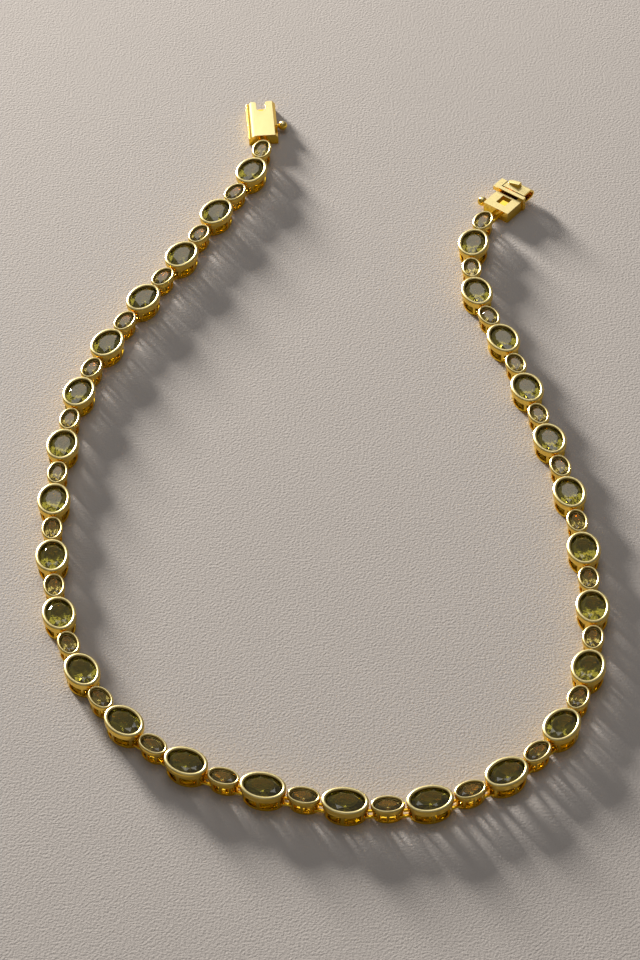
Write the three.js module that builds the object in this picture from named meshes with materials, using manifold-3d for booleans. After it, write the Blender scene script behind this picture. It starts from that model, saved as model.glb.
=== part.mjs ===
// A tennis necklace, unclasped and lying flat. Oval bezel settings, large and small in turn, are linked
// by flat wire rings, with the box of a box clasp on one end and its tongue on the other.
// Millimetres, +Z up, the origin at the middle of the footprint, on the surface that the necklace lies on.
import * as THREE from 'three';
import { mergeVertices } from 'three/addons/utils/BufferGeometryUtils.js';
import Module from 'manifold-3d';

const wasm = await Module();
wasm.setup();

// ---------------------------------------------------------------- driving dimensions

const LINK_COUNT = 55;
const LINK_PITCH = 7.15; // centre to centre of neighbouring settings

const LARGE = {
  halfLength: 4.05, halfWidth: 3.02, height: 3.6, sides: 12, rim: 0.72, wall: 0.46, foot: 0.5,
};
const SMALL = { halfLength: 2.9, halfWidth: 1.95, height: 3.3, sides: 10, rim: 0.54 };

// The gallery is the part of a setting under its band, set in from the band's outline.
const GALLERY = { height: 2.35, insetAtFoot: 0.3, insetAtTop: 0.26, step: 0.1 };
const LIP_DEPTH = 0.42; // the band's lip, which is pressed over the edge of the stone
const GROOVE_DEPTH = 0.64; // the groove under the lip, which holds the stone's girdle

const LARGE_STONE = {
  halfLength: 3.5, halfWidth: 2.5, girdleTop: 2.92, girdleBottom: 2.82, table: 3.52, culet: 0.75,
};
const SMALL_STONE = { edge: 2.74, table: 3.1, tableShare: 0.6 };

// A brilliant cut, as shares of the girdle's radius. A crown's kites and stars meet at the star points,
// and a pavilion's mains and lower halves meet at the main points.
const CUT = { fold: LARGE.sides / 2, table: 0.6, starPoint: 0.8, mainPoint: 0.24 };

// Each wire ring lies flat, one end in a small setting, the other round the post at the end of the next
// gallery, with its legs in the slots beside that post. `middle` is from the small setting's centre.
const RING = { halfLength: 1.75, middle: 2.95 };
const CLASP_RING = { halfLength: 2.0, middle: 4.25 }; // the longer ring at each end, which holds the clasp
const WIRE = { halfWidth: 1.0, width: 0.6, thickness: 0.45, bottom: 0.5 };
const SLOT = { inner: 0.3, outer: 1.35, bottom: 0.3, top: 1.15, length: 1.7 };
const CLASP_GAP = 2.3; // from the last rim at each end to the clasp

const BOX = {
  heading: 93, width: 6.0, length: 11.0, height: 2.4, wall: 0.3, endWall: 0.4,
  bevelDrop: 0.5, leftBevel: 1.3, rightBevel: 0.6, underBevel: 0.15,
  notchWidth: 1.8, notchDepth: 3, knobAt: 4.1,
};
const TONGUE_HALF = {
  heading: 50,
  width: 5.9, length: 4.4, height: 2.4, frontWall: 0.4,
  windowWidth: 2.2, windowLength: 2.4, windowStart: 1.6, knobAt: 1.1,
  neckLength: 0.4, neckHeight: 1.5, bridgeWidth: 1.1,
  collarWidth: 6.4, collarLength: 0.8, collarHeight: 3,
  leafWidth: 5.2, leafThickness: 0.35, leafBottom: 0.7, leafLength: 3.8, leafRise: 2.9, foldHeight: 1.7,
  tabStart: 1.5, tabWidth: 2.4, tabLength: 1.1, tabHeight: 3.8, tabOffset: 0.8,
  lugLength: 2.2, lugReach: 1, lugBottom: 1.9, lugTop: 2.8,
};
const KNOB = { radius: 0.95, stemRadius: 0.4, reach: 1.15, height: 1.3 };
const OVERLAP = 0.1; // how far joined solids run into each other
const PAST = 1; // how far a cut runs past the face it opens

// The way the chain lies: its heading at some of the links, in degrees from +X, even turns in between.
const BENDS = [
  { link: 0, heading: -102 },
  { link: 2, heading: -123 },
  { link: 4, heading: -117 },
  { link: 6, heading: -122 },
  { link: 9, heading: -116 },
  { link: 12, heading: -100 },
  { link: 15, heading: -92 },
  { link: 18, heading: -84 },
  { link: 21, heading: -66 },
  { link: 24, heading: -42 },
  { link: 26, heading: -23 },
  { link: 29, heading: -12 },
  { link: 31, heading: 11 },
  { link: 33, heading: 34 },
  { link: 36, heading: 68 },
  { link: 39, heading: 90 },
  { link: 42, heading: 96 },
  { link: 45, heading: 103 },
  { link: 48, heading: 104 },
  { link: 50, heading: 111 },
  { link: 52, heading: 90 },
  { link: 54, heading: 66 },
];
const FIRST_LINK = { x: -9.13, y: 79.28 };

const GOLD = new THREE.MeshStandardMaterial({ name: 'gold', color: 0xd8a94e, roughness: 0.28, metalness: 1 });
const STONE = new THREE.MeshStandardMaterial({ name: 'stone', color: 0x4a4a1e, roughness: 0.05, metalness: 0 });

// ---------------------------------------------------------------- joining and cutting

function solidOf(geometry) {
  const bare = geometry.clone();
  bare.deleteAttribute('normal');
  bare.deleteAttribute('uv');
  const merged = mergeVertices(bare, 1e-4);
  const mesh = new wasm.Mesh({
    numProp: 3,
    vertProperties: new Float32Array(merged.attributes.position.array),
    triVerts: new Uint32Array(merged.index.array),
  });
  return new wasm.Manifold(mesh);
}

function geometryOf(solid) {
  const mesh = solid.getMesh();
  const geometry = new THREE.BufferGeometry();
  geometry.setAttribute('position', new THREE.BufferAttribute(new Float32Array(mesh.vertProperties), 3));
  geometry.setIndex(new THREE.BufferAttribute(new Uint32Array(mesh.triVerts), 1));
  return geometry;
}

const join = (first, ...others) => others.reduce((sum, other) => sum.add(other), first);
const cut = (first, ...others) => others.reduce((rest, other) => rest.subtract(other), first);

// A block between two corners, each given as [x, y, z].
function block(low, high) {
  const size = high.map((value, axis) => value - low[axis]);
  const middle = high.map((value, axis) => (value + low[axis]) / 2);
  return solidOf(new THREE.BoxGeometry(...size).translate(...middle));
}

// ---------------------------------------------------------------- where the links lie

function headingAt(link) {
  const next = Math.max(1, BENDS.findIndex((bend) => bend.link >= link));
  const [from, to] = [BENDS[next - 1], BENDS[next]];
  const share = (link - from.link) / (to.link - from.link);
  return THREE.MathUtils.degToRad(from.heading + share * (to.heading - from.heading));
}

function placeLinks() {
  const links = [{ ...FIRST_LINK, heading: headingAt(0), kind: SMALL }];
  for (let i = 1; i < LINK_COUNT; i += 1) {
    const heading = headingAt(i);
    const way = (links[i - 1].heading + heading) / 2;
    links.push({
      x: links[i - 1].x + LINK_PITCH * Math.cos(way),
      y: links[i - 1].y + LINK_PITCH * Math.sin(way),
      heading,
      kind: i % 2 ? LARGE : SMALL,
    });
  }
  return links;
}

// A point on a link's long axis, `along` from its centre.
function pointOn(link, along) {
  return { x: link.x + along * Math.cos(link.heading), y: link.y + along * Math.sin(link.heading) };
}

function placeOf(link) {
  const place = new THREE.Matrix4().makeRotationZ(link.heading);
  return place.setPosition(link.x, link.y, 0);
}

// The matrix that takes a piece from its own frame into the frame of `base`.
function seenFrom(base, link) {
  return placeOf(base).invert().multiply(placeOf(link));
}

// ---------------------------------------------------------------- settings, rings and stones

function ovalPoint(kind, inset, angle, z) {
  return [(kind.halfLength - inset) * Math.cos(angle), (kind.halfWidth - inset) * Math.sin(angle), z];
}

// Rings of points, one for each [inset, z], skinned into one closed surface. A closed profile makes a hoop,
// and an open one a body with a flat cap at each end.
function ovalLoft(kind, profile, closed) {
  const sides = kind.sides;
  const positions = profile.flatMap(([inset, z]) => Array.from({ length: sides }, (unused, k) => (
    ovalPoint(kind, inset, (k * 2 * Math.PI) / sides, z)))).flat();
  const index = [];
  const rows = closed ? profile.length : profile.length - 1;
  for (let row = 0; row < rows; row += 1) {
    const low = row * sides;
    const high = ((row + 1) % profile.length) * sides;
    for (let k = 0; k < sides; k += 1) {
      const next = (k + 1) % sides;
      index.push(low + k, low + next, high + next, low + k, high + next, high + k);
    }
  }
  if (!closed) {
    const top = (profile.length - 1) * sides;
    for (let k = 1; k < sides - 1; k += 1) {
      index.push(0, k + 1, k, top, top + k, top + k + 1);
    }
  }
  const geometry = new THREE.BufferGeometry();
  geometry.setAttribute('position', new THREE.Float32BufferAttribute(positions, 3));
  geometry.setIndex(index);
  return geometry;
}

// A setting's outside, up the gallery and the band to the rim.
const outerProfile = (kind) => [
  [GALLERY.insetAtFoot, 0],
  [GALLERY.insetAtTop, GALLERY.height],
  [0, GALLERY.height + GALLERY.step],
  [0, kind.height],
  [kind.rim, kind.height],
];

function largeSetting() {
  const profile = [
    ...outerProfile(LARGE),
    [LARGE.rim, LARGE.height - LIP_DEPTH],
    [LARGE.wall, LARGE.height - GROOVE_DEPTH],
    [GALLERY.insetAtFoot + LARGE.foot, 0],
  ];
  return solidOf(ovalLoft(LARGE, profile, true));
}

// A small setting is closed by its stone, whose crown and table show inside the rim.
function smallSetting() {
  const profile = [
    ...outerProfile(SMALL),
    [SMALL.rim, SMALL_STONE.edge],
    [SMALL.rim + (SMALL.halfWidth - SMALL.rim) * (1 - SMALL_STONE.tableShare), SMALL_STONE.table],
  ];
  return solidOf(ovalLoft(SMALL, profile, false));
}

// Two slots beside the post at the end of a gallery, for the legs of a ring that comes from -X.
function ringSlots(endX) {
  const [back, front] = [endX - SLOT.length / 2, endX + SLOT.length / 2];
  return [
    block([back, SLOT.inner, SLOT.bottom], [front, SLOT.outer, SLOT.top]),
    block([back, -SLOT.outer, SLOT.bottom], [front, -SLOT.inner, SLOT.top]),
  ];
}

// A long hexagon with a pointed end each way along X.
function pointedOutline(halfLength, halfWidth) {
  const shoulder = halfLength - halfWidth / 2;
  return [
    [halfLength, 0], [shoulder, halfWidth], [-shoulder, halfWidth],
    [-halfLength, 0], [-shoulder, -halfWidth], [shoulder, -halfWidth],
  ].map(([x, y]) => new THREE.Vector2(x, y));
}

// A flat ring with broad legs that reaches out from a small setting in the direction `turn`, from +X.
function wireRing(ring, turn = 0) {
  const outline = new THREE.Shape(pointedOutline(ring.halfLength, WIRE.halfWidth));
  const inside = pointedOutline(ring.halfLength - WIRE.thickness, WIRE.halfWidth - WIRE.width);
  outline.holes.push(new THREE.Path(inside));
  const geometry = new THREE.ExtrudeGeometry(outline, { depth: WIRE.thickness, bevelEnabled: false });
  return solidOf(geometry.translate(ring.middle, 0, WIRE.bottom).rotateZ(turn));
}

// The two legs of the ring on a small setting's -X side, which joins it to the large one before it.
function ringLegs() {
  const [inner, outer] = [WIRE.halfWidth - WIRE.width, WIRE.halfWidth];
  const [bottom, top] = [WIRE.bottom, WIRE.bottom + WIRE.thickness];
  const reach = RING.halfLength - WIRE.thickness;
  const [back, front] = [-RING.middle - reach, -RING.middle + reach];
  return join(
    block([back, inner, bottom], [front, outer, top]),
    block([back, -outer, bottom], [front, -inner, top]),
  );
}

// An oval brilliant: table, stars, kites, upper halves, girdle, lower halves, mains and culet.
function brilliant(stone) {
  const fold = CUT.fold;
  const crown = stone.table - stone.girdleTop;
  const pavilion = stone.girdleBottom - stone.culet;
  const flat = Math.cos(Math.PI / fold); // keeps the four corners of each kite and each main in one plane
  const starZ = stone.girdleTop + (crown * (1 - CUT.starPoint * flat)) / (1 - CUT.table);
  const mainZ = stone.culet + pavilion * CUT.mainPoint * flat;
  const vertices = [];
  const ring = (count, share, z, turn = 0) => Array.from({ length: count }, (unused, k) => {
    const angle = ((k + turn) * 2 * Math.PI) / count;
    vertices.push(share * stone.halfLength * Math.cos(angle), share * stone.halfWidth * Math.sin(angle), z);
    return vertices.length / 3 - 1;
  });
  const table = ring(fold, CUT.table, stone.table);
  const stars = ring(fold, CUT.starPoint, starZ, 0.5);
  const upper = ring(2 * fold, 1, stone.girdleTop);
  const lower = ring(2 * fold, 1, stone.girdleBottom);
  const mains = ring(fold, CUT.mainPoint, mainZ, 0.5);
  const [culet] = ring(1, 0, stone.culet);
  const faces = [];
  for (let k = 1; k < fold - 1; k += 1) {
    faces.push(table[0], table[k], table[k + 1]);
  }
  for (let k = 0; k < fold; k += 1) {
    const next = (k + 1) % fold;
    const last = (k + fold - 1) % fold;
    const [main, half, nextMain] = [2 * k, 2 * k + 1, 2 * next];
    faces.push(table[k], stars[k], table[next]);
    faces.push(table[k], stars[last], upper[main], table[k], upper[main], stars[k]);
    faces.push(stars[k], upper[main], upper[half], stars[k], upper[half], upper[nextMain]);
    faces.push(mains[k], lower[half], lower[main], mains[k], lower[nextMain], lower[half]);
    faces.push(culet, lower[main], mains[last], culet, mains[k], lower[main]);
  }
  for (let k = 0; k < 2 * fold; k += 1) {
    const next = (k + 1) % (2 * fold);
    faces.push(upper[k], lower[k], lower[next], upper[k], lower[next], upper[next]);
  }
  const geometry = new THREE.BufferGeometry();
  geometry.setAttribute('position', new THREE.Float32BufferAttribute(vertices, 3));
  geometry.setIndex(faces);
  return geometry;
}

// ---------------------------------------------------------------- clasp

// A ball on a short stem that stands out sideways, towards +Y or -Y, from a side face at `side`.
function knob(x, side) {
  const out = Math.sign(side);
  const middle = side + out * KNOB.reach;
  const ball = new THREE.SphereGeometry(KNOB.radius, 8, 6).rotateX(Math.PI / 2);
  ball.translate(x, middle, KNOB.height);
  const stemLength = KNOB.reach + OVERLAP;
  const stem = new THREE.CylinderGeometry(KNOB.stemRadius, KNOB.stemRadius, stemLength, 6);
  stem.translate(x, middle - (out * stemLength) / 2, KNOB.height);
  return join(solidOf(ball), solidOf(stem));
}

// The box half runs along +X from its closed end at x = 0, where its ring comes in, to its open mouth.
function claspBox() {
  const halfWidth = BOX.width / 2;
  const shoulder = BOX.height - BOX.bevelDrop;
  const section = new THREE.Shape([
    [-halfWidth, 0], [halfWidth, 0], [halfWidth, shoulder], [halfWidth - BOX.leftBevel, BOX.height],
    [BOX.rightBevel - halfWidth, BOX.height], [-halfWidth, shoulder],
  ].map(([y, z]) => new THREE.Vector2(y, z)));
  const shell = new THREE.ExtrudeGeometry(section, { depth: BOX.length, bevelEnabled: false });
  // The section is drawn across the box, so it is stood up and its depth laid along +X.
  shell.applyMatrix4(new THREE.Matrix4().set(0, 0, 1, 0, 1, 0, 0, 0, 0, 1, 0, 0, 0, 0, 0, 1));
  const inner = halfWidth - BOX.wall;
  const ceiling = shoulder - BOX.underBevel;
  return cut(
    join(solidOf(shell), knob(BOX.knobAt, -halfWidth)),
    block([BOX.endWall, -inner, BOX.wall], [BOX.length + PAST, inner, ceiling]),
    block(
      [BOX.length - BOX.notchDepth, -BOX.notchWidth / 2, BOX.height / 2],
      [BOX.length + PAST, BOX.notchWidth / 2, BOX.height + PAST],
    ),
    ...ringSlots(BOX.endWall / 2),
  );
}

// The tongue is one strip: out from the collar, folded back at its tip, and up to its free end.
function tongueStrip(collarEnd) {
  const t = TONGUE_HALF;
  const start = collarEnd - OVERLAP;
  const freeEnd = collarEnd + t.leafThickness;
  const flatEnd = collarEnd + t.tabStart + t.tabLength;
  const tip = collarEnd + t.leafLength;
  const insideTip = tip - t.leafThickness;
  const floor = t.leafBottom + t.leafThickness;
  const roof = t.leafRise - t.leafThickness;
  const foldTop = t.leafBottom + t.foldHeight;
  const side = [
    [start, t.leafBottom], [insideTip, t.leafBottom], [tip, floor], [tip, foldTop],
    [flatEnd, t.leafRise], [freeEnd, t.leafRise], [freeEnd, roof], [flatEnd, roof],
    [insideTip, foldTop - t.leafThickness], [insideTip, floor], [start, floor],
  ].map(([x, z]) => new THREE.Vector2(x, z));
  const outline = new THREE.Shape(side);
  const strip = new THREE.ExtrudeGeometry(outline, { depth: t.leafWidth, bevelEnabled: false });
  return solidOf(strip.rotateX(Math.PI / 2).translate(0, t.leafWidth / 2, 0));
}

// The tongue half runs along +X from the end of its frame at x = 0, where its ring comes in. A narrow
// groove parts the frame from the collar, but for a bridge at the -Y side. The collar has a lug at +Y.
function claspTongue() {
  const t = TONGUE_HALF;
  const [frame, collar, window, tab] = [t.width, t.collarWidth, t.windowWidth, t.tabWidth].map((w) => w / 2);
  const collarStart = t.length + t.neckLength;
  const collarEnd = collarStart + t.collarLength;
  const tabStart = collarEnd + t.tabStart;
  const tabBottom = t.leafRise - t.leafThickness;
  const neckEnd = collarStart + OVERLAP;
  return cut(
    join(
      block([0, -frame, 0], [t.length, frame, t.height]),
      block([t.length - OVERLAP, -frame, 0], [neckEnd, frame, t.neckHeight]),
      block([t.length - OVERLAP, -frame, 0], [neckEnd, t.bridgeWidth - frame, t.height]),
      block([collarStart, -collar, 0], [collarEnd, collar, t.collarHeight]),
      tongueStrip(collarEnd),
      block(
        [tabStart, t.tabOffset - tab, tabBottom],
        [tabStart + t.tabLength, t.tabOffset + tab, t.tabHeight],
      ),
      block(
        [collarEnd - OVERLAP, collar - OVERLAP, t.lugBottom],
        [collarEnd + t.lugLength, collar + t.lugReach, t.lugTop],
      ),
      block(
        [collarStart, collar - OVERLAP, t.lugBottom],
        [collarEnd, collar + t.lugReach, t.lugTop],
      ),
      knob(t.knobAt, frame),
    ),
    block([t.windowStart, -window, -PAST], [t.windowStart + t.windowLength, window, t.height + PAST]),
    block([t.frontWall, -SLOT.outer, SLOT.bottom], [t.windowStart + OVERLAP, SLOT.outer, SLOT.top]),
    ...ringSlots(0),
  );
}

// ---------------------------------------------------------------- the necklace

const necklace = new THREE.Group();

function add(name, geometry, material, place) {
  const mesh = new THREE.Mesh(geometry, material.clone());
  mesh.name = name;
  mesh.position.set(place.x, place.y, 0);
  mesh.rotation.z = place.heading;
  necklace.add(mesh);
}

const twoDigits = (number) => String(number).padStart(2, '0');

const links = placeLinks();
const firstLink = links[0];
const lastLink = links[LINK_COUNT - 1];

// The way out of an end link to its half of the clasp, halfway between their headings.
const wayOut = (outward, half) => (outward + THREE.MathUtils.degToRad(half.heading)) / 2;
const firstWay = wayOut(firstLink.heading + Math.PI, BOX);
const lastWay = wayOut(lastLink.heading, TONGUE_HALF);

function claspPlace(link, way, half) {
  const end = pointOn({ ...link, heading: way }, SMALL.halfLength + CLASP_GAP);
  return { ...end, heading: THREE.MathUtils.degToRad(half.heading) };
}

const endRing = wireRing(CLASP_RING, firstWay - firstLink.heading);
add('clasp_box', geometryOf(claspBox()), GOLD, claspPlace(firstLink, firstWay, BOX));
add('end_setting', geometryOf(join(smallSetting(), wireRing(RING), endRing)), GOLD, firstLink);

const slottedLarge = cut(largeSetting(), ...ringSlots(-LARGE.halfLength + GALLERY.insetAtFoot));
const innerSmall = join(smallSetting(), ringLegs(), wireRing(RING));
const lastSmall = join(smallSetting(), ringLegs(), wireRing(CLASP_RING, lastWay - lastLink.heading));
for (let i = 1; i < LINK_COUNT; i += 2) {
  const number = twoDigits((i + 1) / 2);
  const small = links[i + 1] === lastLink ? lastSmall : innerSmall;
  const placedSmall = small.transform(seenFrom(links[i], links[i + 1]).toArray());
  add(`setting_pair_${number}`, geometryOf(join(slottedLarge, placedSmall)), GOLD, links[i]);
  add(`stone_${number}`, brilliant(LARGE_STONE), STONE, links[i]);
}

add('clasp_tongue', geometryOf(claspTongue()), GOLD, claspPlace(lastLink, lastWay, TONGUE_HALF));

export default necklace;
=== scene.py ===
import math

import bmesh
import bpy
from bpy.props import FloatProperty, FloatVectorProperty, IntProperty, PointerProperty
from mathutils import Matrix, Vector


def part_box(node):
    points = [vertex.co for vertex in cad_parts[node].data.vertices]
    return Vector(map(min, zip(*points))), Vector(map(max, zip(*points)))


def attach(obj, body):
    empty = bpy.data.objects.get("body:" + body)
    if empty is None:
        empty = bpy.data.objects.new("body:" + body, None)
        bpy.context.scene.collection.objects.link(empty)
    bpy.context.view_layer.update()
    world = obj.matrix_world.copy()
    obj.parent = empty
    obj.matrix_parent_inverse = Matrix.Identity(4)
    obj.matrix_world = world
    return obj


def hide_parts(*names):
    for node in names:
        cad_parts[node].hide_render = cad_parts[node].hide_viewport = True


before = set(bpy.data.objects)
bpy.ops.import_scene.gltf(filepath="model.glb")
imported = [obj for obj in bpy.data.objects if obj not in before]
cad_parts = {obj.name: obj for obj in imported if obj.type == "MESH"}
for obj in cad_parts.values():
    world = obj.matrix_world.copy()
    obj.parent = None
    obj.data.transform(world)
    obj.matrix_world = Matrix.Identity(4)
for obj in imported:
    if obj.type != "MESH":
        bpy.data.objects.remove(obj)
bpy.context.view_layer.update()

bl_info = {
    "name": "Tennis Necklace",
    "version": (1, 0, 0),
    "blender": (4, 5, 0),
    "location": "View3D > Sidebar > Necklace",
    "description": "An unclasped chain of oval stones in gold bezel settings, with its clasp",
    "category": "Add Mesh",
}

MM = 0.001
BODY = "root"
EPSILON = 1e-6
PLACE_TOLERANCE = 0.1 * MM

# The way the chain lies. A link's heading is in degrees from +X, with even turns between the named links.
LINK_COUNT = 55
LINK_PITCH = 7.15 * MM
FIRST_LINK = Vector((-9.13, 79.28)) * MM
BENDS = (
    {"link": 0, "heading": -102},
    {"link": 2, "heading": -123},
    {"link": 4, "heading": -117},
    {"link": 6, "heading": -122},
    {"link": 9, "heading": -116},
    {"link": 12, "heading": -100},
    {"link": 15, "heading": -92},
    {"link": 18, "heading": -84},
    {"link": 21, "heading": -66},
    {"link": 24, "heading": -42},
    {"link": 26, "heading": -23},
    {"link": 29, "heading": -12},
    {"link": 31, "heading": 11},
    {"link": 33, "heading": 34},
    {"link": 36, "heading": 68},
    {"link": 39, "heading": 90},
    {"link": 42, "heading": 96},
    {"link": 45, "heading": 103},
    {"link": 48, "heading": 104},
    {"link": 50, "heading": 111},
    {"link": 52, "heading": 90},
    {"link": 54, "heading": 66},
)

# A rim's rounded section, as pairs: a share of its width from the outside, and of its drop below the top.
RIM_CURVE = (
    (0, 1),
    (0.05, 0.74),
    (0.12, 0.53),
    (0.28, 0.26),
    (0.44, 0.04),
    (0.52, 0),
    (0.6, 0.04),
    (0.76, 0.26),
    (0.9, 0.55),
    (1, 1),
)

# A face whose normal points up or down by more than this counts as level and holds no window.
LEVEL_NORMAL = 0.5
# In shares of an oval's radius: how far off the oval a face of the wall may lie, and how far out a vertex may
# lie and still count as inside, where the band's inner wall is painted dark as painted shade.
SKIN_REACH = 0.08
OPENING_REACH = 1.02
# How far the seat under the stone falls, as a share of how far it reaches inwards.
SEAT_SLOPE = 0.75
# How much of its width the rounding of the notch's inner corners takes.
NOTCH_ROUND = 0.68

# Numbers of segments round each outline and along each rounded corner.
OVAL_SIDES = 72
RING_SIDES = 28
WIRE_SIDES = 12
STEM_SIDES = 24
BALL_SIDES = 32
BALL_ROWS = 20
BLANK_SIDES = 64
FOLD_STEPS = 8
NOTCH_STEPS = 8
PRONG_STEPS = 6
TAB_STEPS = 4
EDGE_STEPS = 3
GALLERY_EDGE_STEPS = 2

# Angles in degrees. An edge that turns by more than SHARP_ANGLE is rounded, and one that turns by less than
# SMOOTH_ANGLE is shaded smooth. LOOSE_ANGLE takes the place of SMOOTH_ANGLE on wire and of SHARP_ANGLE on
# thin sheet. Faces that turn by less than FLAT_ANGLE count as one.
SHARP_ANGLE = 35
SMOOTH_ANGLE = 40
LOOSE_ANGLE = 60
FLAT_ANGLE = 1

# A brilliant's facets repeat in eighths of a turn. It is cut at radius 1, from a blank with a blunt point.
EIGHTHS = 8
FACET_THRESHOLD = 1e-5
FACET_MERGE = 1e-4
BLUNT = 0.02

# Gold is brushed, with a satin roughness and a painted pale sheen, where it points up and lies high: from
# none at the first value to fully at the second.
BRUSHED_AND_SHEEN_RISE = (0.6, 0.95)
BRUSHED_AND_SHEEN_HEIGHTS = (1.9 * MM, 2.2 * MM)
# The heights between which its deeper tone, a painted reflection of gold in gold low in the galleries, gives
# way to its usual one.
PAINTED_REFLECTION_HEIGHTS = (0.8 * MM, 2.4 * MM)

# The roughness of the noise in the gold's grain and in the floor's clouds.
ROUGH_NOISE = 0.6

# The gold's fine unevenness: noise scales per metre, how much the clouds change the tone and the grain the
# roughness, the clouds' weight against the grain in the bump, and the bump's strength and depth.
CLOUD_SCALE = 900
GRAIN_SCALE = 9000
CLOUD_TONE = 0.2
GRAIN_SPREAD = 0.08
CLOUD_BUMP = 2.0
GOLD_BUMP = 0.2
GOLD_BUMP_DEPTH = 0.02 * MM

# The floor's noise scales, how much paler its clouds are, its roughness, and its bump's strength and depth.
FLOOR_CLOUD_SCALE = 60
FLOOR_GRAIN_SCALE = 2200
FLOOR_PALE = 1.06
FLOOR_ROUGHNESS = 0.85
FLOOR_BUMP = 0.32
FLOOR_BUMP_DEPTH = 0.3 * MM

# The soft lights. `aside` is a light's turn to the left of +Y and `above` its height, both in degrees.
LIGHTS = (
    {"name": "key", "width": 0.25, "aside": 31, "above": 10.7, "distance": 1.5, "tint": (1.0, 0.95, 0.87)},
    {"name": "back", "width": 0.5, "aside": 0, "above": 36, "distance": 1.4, "tint": (1.0, 0.93, 0.82)},
    {"name": "top", "width": 0.9, "aside": 0, "above": 70, "distance": 1.5, "tint": (1.0, 1.0, 1.0)},
    {"name": "fill", "width": 1.0, "aside": 150, "above": 50, "distance": 1.8, "tint": (1.0, 0.95, 0.9)},
)
SKY_TINT = (1.0, 0.95, 0.9)
FLOOR_SIZE = 6

# The camera's place, its tilt and roll in degrees, and its lens and sensor in millimetres.
CAMERA_PLACE = Vector((0.65, -465.65, 452.22)) * MM
CAMERA_TILT = 44.97
CAMERA_ROLL = -1.741
CAMERA_LENS = 130.14
CAMERA_SENSOR = 36
# Nothing nearer to the camera than this is drawn.
CAMERA_NEAR = 10 * MM

# The numbers of a Mix node's sockets for two colours and for their mix.
FIRST_COLOUR = 6
SECOND_COLOUR = 7
MIXED_COLOUR = 2


# ------------------------------------------------------------------ sizes and colours


def length(name, description, millimetres):
    """A size that the sidebar shows as a length."""
    return FloatProperty(
        name=name, description=description, default=millimetres * MM, unit="LENGTH", subtype="DISTANCE"
    )


def share(name, description, value):
    """A number from 0 to 1."""
    return FloatProperty(
        name=name, description=description, default=value, min=0.0, max=1.0, subtype="FACTOR"
    )


def degrees(name, description, value):
    """A whole number of degrees."""
    return IntProperty(name=name, description=f"{description}, in degrees", default=value)


def power(name, description, watts):
    """A light's power."""
    return FloatProperty(name=name, description=description, default=watts, unit="POWER")


def colour(name, description, red, green, blue):
    """A linear colour."""
    return FloatVectorProperty(
        name=name, description=description, default=(red, green, blue), min=0.0, max=1.0, subtype="COLOR"
    )


class LargeSettingSizes(bpy.types.PropertyGroup):
    """Sizes of the settings that hold the large stones."""

    half_length: length("Half length", "Half of the oval's length", 4.05)
    half_width: length("Half width", "Half of the oval's width", 3.02)
    height: length("Height", "Height of the rim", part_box("setting_pair_01")[1].z / MM)
    rim: length("Rim", "Width of the rim round the opening", 0.72)
    foot_ledge: length("Foot ledge", "How far the foot reaches in under the stone", 2.1)
    window_start: degrees("Window start", "Where a window starts, round from the oval's end", 35)
    slot_start: degrees("Slot start", "Where a ring's slot starts, round from the oval's end", 5)
    slot_end: degrees("Slot end", "Where a ring's slot ends, round from the oval's end", 25)


class SmallSettingSizes(bpy.types.PropertyGroup):
    """Sizes of the settings that hold the small stones."""

    half_length: length("Half length", "Half of the oval's length", 2.9)
    half_width: length("Half width", "Half of the oval's width", 1.95)
    height: length("Height", "Height of the rim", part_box("end_setting")[1].z / MM)
    rim: length("Rim", "Width of the rim round the opening", 0.54)
    foot_ledge: length("Foot ledge", "How far the foot reaches in under the stone", 1.5)
    window_start: degrees("Window start", "Where a window starts, round from the oval's end", 55)
    slot_start: degrees("Slot start", "Where a ring's slot starts, round from the oval's end", 15)
    slot_end: degrees("Slot end", "Where a ring's slot ends, round from the oval's end", 45)


class GallerySizes(bpy.types.PropertyGroup):
    """Sizes that all settings share, from the surface up to the rim."""

    foot_inset: length("Foot inset", "How far the foot is set in from the band", 0.3)
    top_inset: length("Top inset", "How far the top of the gallery is set in from the band", 0.26)
    wall: length("Wall", "Thickness of the gallery's wall", 0.45)
    height: length("Height", "Height of the gallery under the band", 2.35)
    step: length("Step", "Rise of the step from the gallery to the band", 0.1)
    window_bottom: length("Window bottom", "Height of the windows' lower edges", 0.5)
    window_top: length("Window top", "Height of the windows' upper edges", 2.0)
    window_end: degrees("Window end", "Where a window ends, round from the oval's end", 85)
    lip: length("Lip", "Depth of the lip over the edge of the stone", 0.42)
    groove: length("Groove", "How far the groove for the stone runs back from the rim's outline", 0.44)
    seat: length("Seat", "How far the seat under the stone stands out from the outline", 0.85)
    rim_drop: length("Rim drop", "How far the rim's edges lie below its top", 0.24)
    edge_round: length("Edge rounding", "Rounding of the other edges", 0.05)


class RingSizes(bpy.types.PropertyGroup):
    """Sizes of the wire rings between the settings and at the clasp."""

    half_length: length("Half length", "Half of a ring's length", 1.75)
    middle: length("Middle", "From a small setting's centre to the ring's middle", 2.95)
    clasp_half_length: length("Clasp half length", "Half of the length of a ring at the clasp", 2.0)
    clasp_middle: length("Clasp middle", "From an end setting's centre to its clasp ring's middle", 4.25)
    clasp_gap: length("Clasp gap", "From an end setting's end to its half of the clasp", 2.3)
    half_width: length("Half width", "Half of a ring's width", 1.02)
    leg: length("Leg", "Width of a ring's leg", 0.76)
    wire: length("Wire", "Thickness of the wire", 0.42)
    height: length("Height", "Height of the wire's centre", 0.7)
    slot_gap: length("Slot gap", "Gap round a ring's legs in their slots", 0.1)


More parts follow.
